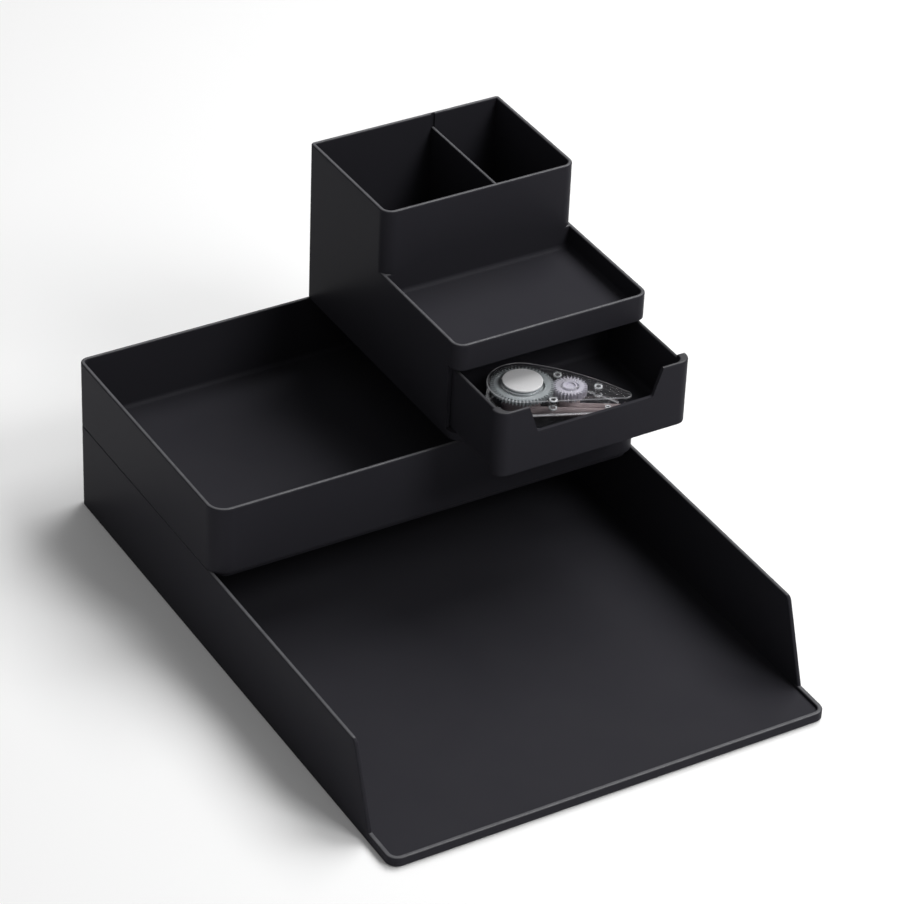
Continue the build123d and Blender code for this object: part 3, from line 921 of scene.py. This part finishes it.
rollTree = makeRollTree()
for rollName in ("supply", "takeup"):
    winding = rollSettings[rollName]
    low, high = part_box(winding["node"])
    pitch = (winding["outer"] - winding["inner"]) / winding["turns"]
    roll = bakeTree(rollName + "_wound_film", rollTree, {
        "Turns": float(winding["turns"]),
        "Inner Radius": winding["inner"] * mm,
        "Outer Radius": winding["outer"] * mm,
        "Points Per Turn": rollSettings["pointsPerTurn"],
        "Film Thickness": (pitch - rollSettings["turnGap"]) * mm,
        "Film Width": (high[2] - low[2]) * rollSettings["widthShare"],
        "Centre": tuple((a + b) / 2 for a, b in zip(low, high)),
        "Material": filmFinish,
    })
    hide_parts(winding["node"])
    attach(roll, winding["body"])
print("film wound")

# rubber feet
footSettings = {
    "radius": 6.95,
    "inset": 0.05,               # of each pad from the sides of the feet's box
    "edgeRound": 0.35,
    "edgeSides": 12,
    "ringCount": 3,
    "ringRadius": 0.16,
    "ringSides": 8,
}
footRubber = {
    "color": (0.022, 0.022, 0.023, 1),
    "bloomShare": 1.8,           # brightness of the pale bloom against the colour
    "bloomScale": 220.0,
    "bloomDetail": 4.0,
    "specular": 0.35,
    "roughness": 0.75,
    "grainScale": 1400.0,
    "grainDepth": 0.05,
}


def makeRubber(name, settings):
    # matt rubber with a pale bloom
    material, maker, shader = newMaterial(name)
    addGrain(maker, shader, {
        "Roughness": settings["roughness"], "Grain Scale": settings["grainScale"],
    }, settings["grainDepth"])
    addCloud(maker, shader, {
        "First Tint": settings["color"], "Second Tint": scaled(settings["color"], settings["bloomShare"]),
        "Scale": settings["bloomScale"], "Detail": settings["bloomDetail"],
    })
    maker.feed(shader, {"Specular IOR Level": settings["specular"]})
    return material


def makeFootTree():
    # four pads on a two by two grid, each a disc with a rounded foot edge and raised grip rings
    maker = newShape("rubberFeet", [
        ("Spread X", "NodeSocketFloat", 0.2),
        ("Spread Y", "NodeSocketFloat", 0.3),
        ("Radius", "NodeSocketFloat", 0.007),
        ("Height", "NodeSocketFloat", 0.0016),
        ("Edge Round", "NodeSocketFloat", 0.0004),
        ("Edge Sides", "NodeSocketInt", 12),
        ("Ring Count", "NodeSocketInt", 3),
        ("Ring Radius", "NodeSocketFloat", 0.0002),
        ("Ring Sides", "NodeSocketInt", 8),
    ])
    add, compute, value = maker.add, maker.compute, maker.value
    ringLift = value("Ring Radius")
    discRadius = compute("SUBTRACT", value("Radius"), value("Edge Round"))
    disc = maker.drum(discRadius, ringLift, value("Height"))
    edgeSection = maker.circle(value("Edge Round"), value("Edge Sides"))
    edgeHeight = compute("ADD", ringLift, value("Edge Round"))
    edge = maker.lift(maker.sweep(maker.circle(discRadius), edgeSection), edgeHeight)

    # grip rings, one for each point of a line, each scaled to its own radius
    line = add("GeometryNodeMeshLine", 0, {"Count": value("Ring Count"), "Offset": (0.0, 0.0, 0.0)})
    number = compute("ADD", add("GeometryNodeInputIndex", 0), 1.0)
    share = compute("DIVIDE", number, compute("ADD", value("Ring Count"), 1.0))
    rings = add("GeometryNodeInstanceOnPoints", 0, {
        "Points": line, "Instance": maker.circle(1.0), "Scale": compute("MULTIPLY", share, value("Radius")),
    })
    realRings = add("GeometryNodeRealizeInstances", 0, {"Geometry": rings})
    grip = maker.lift(maker.sweep(realRings, maker.circle(ringLift, value("Ring Sides"))), ringLift)

    grid = add("GeometryNodeMeshGrid", 0, {
        "Size X": value("Spread X"), "Size Y": value("Spread Y"), "Vertices X": 2, "Vertices Y": 2,
    })
    return maker.finish(add("GeometryNodeInstanceOnPoints", 0, {
        "Points": grid, "Instance": maker.join(disc, edge, grip),
    }))


footLow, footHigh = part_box("letter_tray_feet")
footReach = 2 * (footSettings["radius"] + footSettings["inset"]) * mm
feet = bakeTree("rubber_feet", makeFootTree(), {
    "Spread X": footHigh[0] - footLow[0] - footReach,
    "Spread Y": footHigh[1] - footLow[1] - footReach,
    "Radius": footSettings["radius"] * mm,
    "Height": footHigh[2] - footLow[2],
    "Edge Round": footSettings["edgeRound"] * mm,
    "Edge Sides": footSettings["edgeSides"],
    "Ring Count": footSettings["ringCount"],
    "Ring Radius": footSettings["ringRadius"] * mm,
    "Ring Sides": footSettings["ringSides"],
    "Material": makeRubber("footRubber", footRubber),
})
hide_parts("letter_tray_feet")
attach(feet, "letter_tray")
print("feet set")
